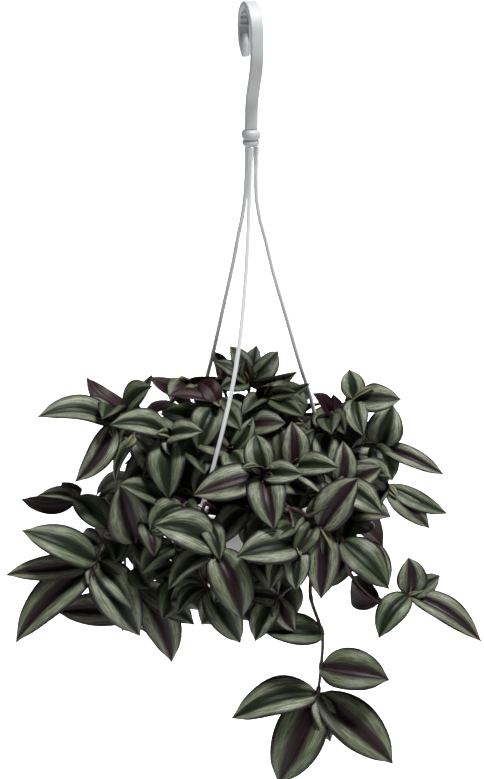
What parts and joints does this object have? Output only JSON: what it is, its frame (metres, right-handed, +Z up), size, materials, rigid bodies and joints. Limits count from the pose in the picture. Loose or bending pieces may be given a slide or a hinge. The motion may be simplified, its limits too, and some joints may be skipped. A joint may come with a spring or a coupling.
{
  "type": "potted tradescantia",
  "caption": "Trailing tradescantia with silver-striped purple-green leaves in a white bowl pot that hangs from a moulded three-strand hook hanger.",
  "frame": {"origin": "seat of the hook, the inner top of its loop, where the rod or ceiling hook bears", "axes": "+X right, +Y back, +Z up; Z is the line the pot hangs on"},
  "size_m": [0.4011, 0.2655, 0.6281],
  "materials": {
    "white_plastic": "semi-matt injection moulded",
    "foliage": "waxy leaf with silver bands above and purple below",
    "peat": "moist dark crumb"
  },
  "bodies": {
    "root": {"hanger_collar": "white_plastic", "hanger_hook": "white_plastic", "hanger_strand_back": "white_plastic", "hanger_strand_front": "white_plastic", "hanger_strand_right": "white_plastic", "pot": "white_plastic", "shoot_back_centre": "foliage", "shoot_back_high_left": "foliage", "shoot_back_high_right": "foliage", "shoot_back_left": "foliage", "shoot_back_right": "foliage", "shoot_centre": "foliage", "shoot_centre_right": "foliage", "shoot_front_high": "foliage", "shoot_front_left": "foliage", "shoot_front_low": "foliage", "shoot_front_right": "foliage", "shoot_left_front": "foliage", "shoot_left_hang": "foliage", "shoot_left_high": "foliage", "shoot_left_inner": "foliage", "shoot_left_low": "foliage", "shoot_left_mid": "foliage", "shoot_middle": "foliage", "shoot_middle_left": "foliage", "shoot_middle_right": "foliage", "shoot_right_front": "foliage", "shoot_right_hang": "foliage", "shoot_right_high": "foliage", "shoot_right_inner": "foliage", "shoot_right_low": "foliage", "shoot_right_mid": "foliage", "shoot_skirt_left": "foliage", "shoot_skirt_middle": "foliage", "shoot_skirt_right": "foliage", "shoot_top_back": "foliage", "shoot_top_centre": "foliage", "shoot_top_left": "foliage", "shoot_trailing": "foliage", "soil": "peat"}
  },
  "joints": []
}
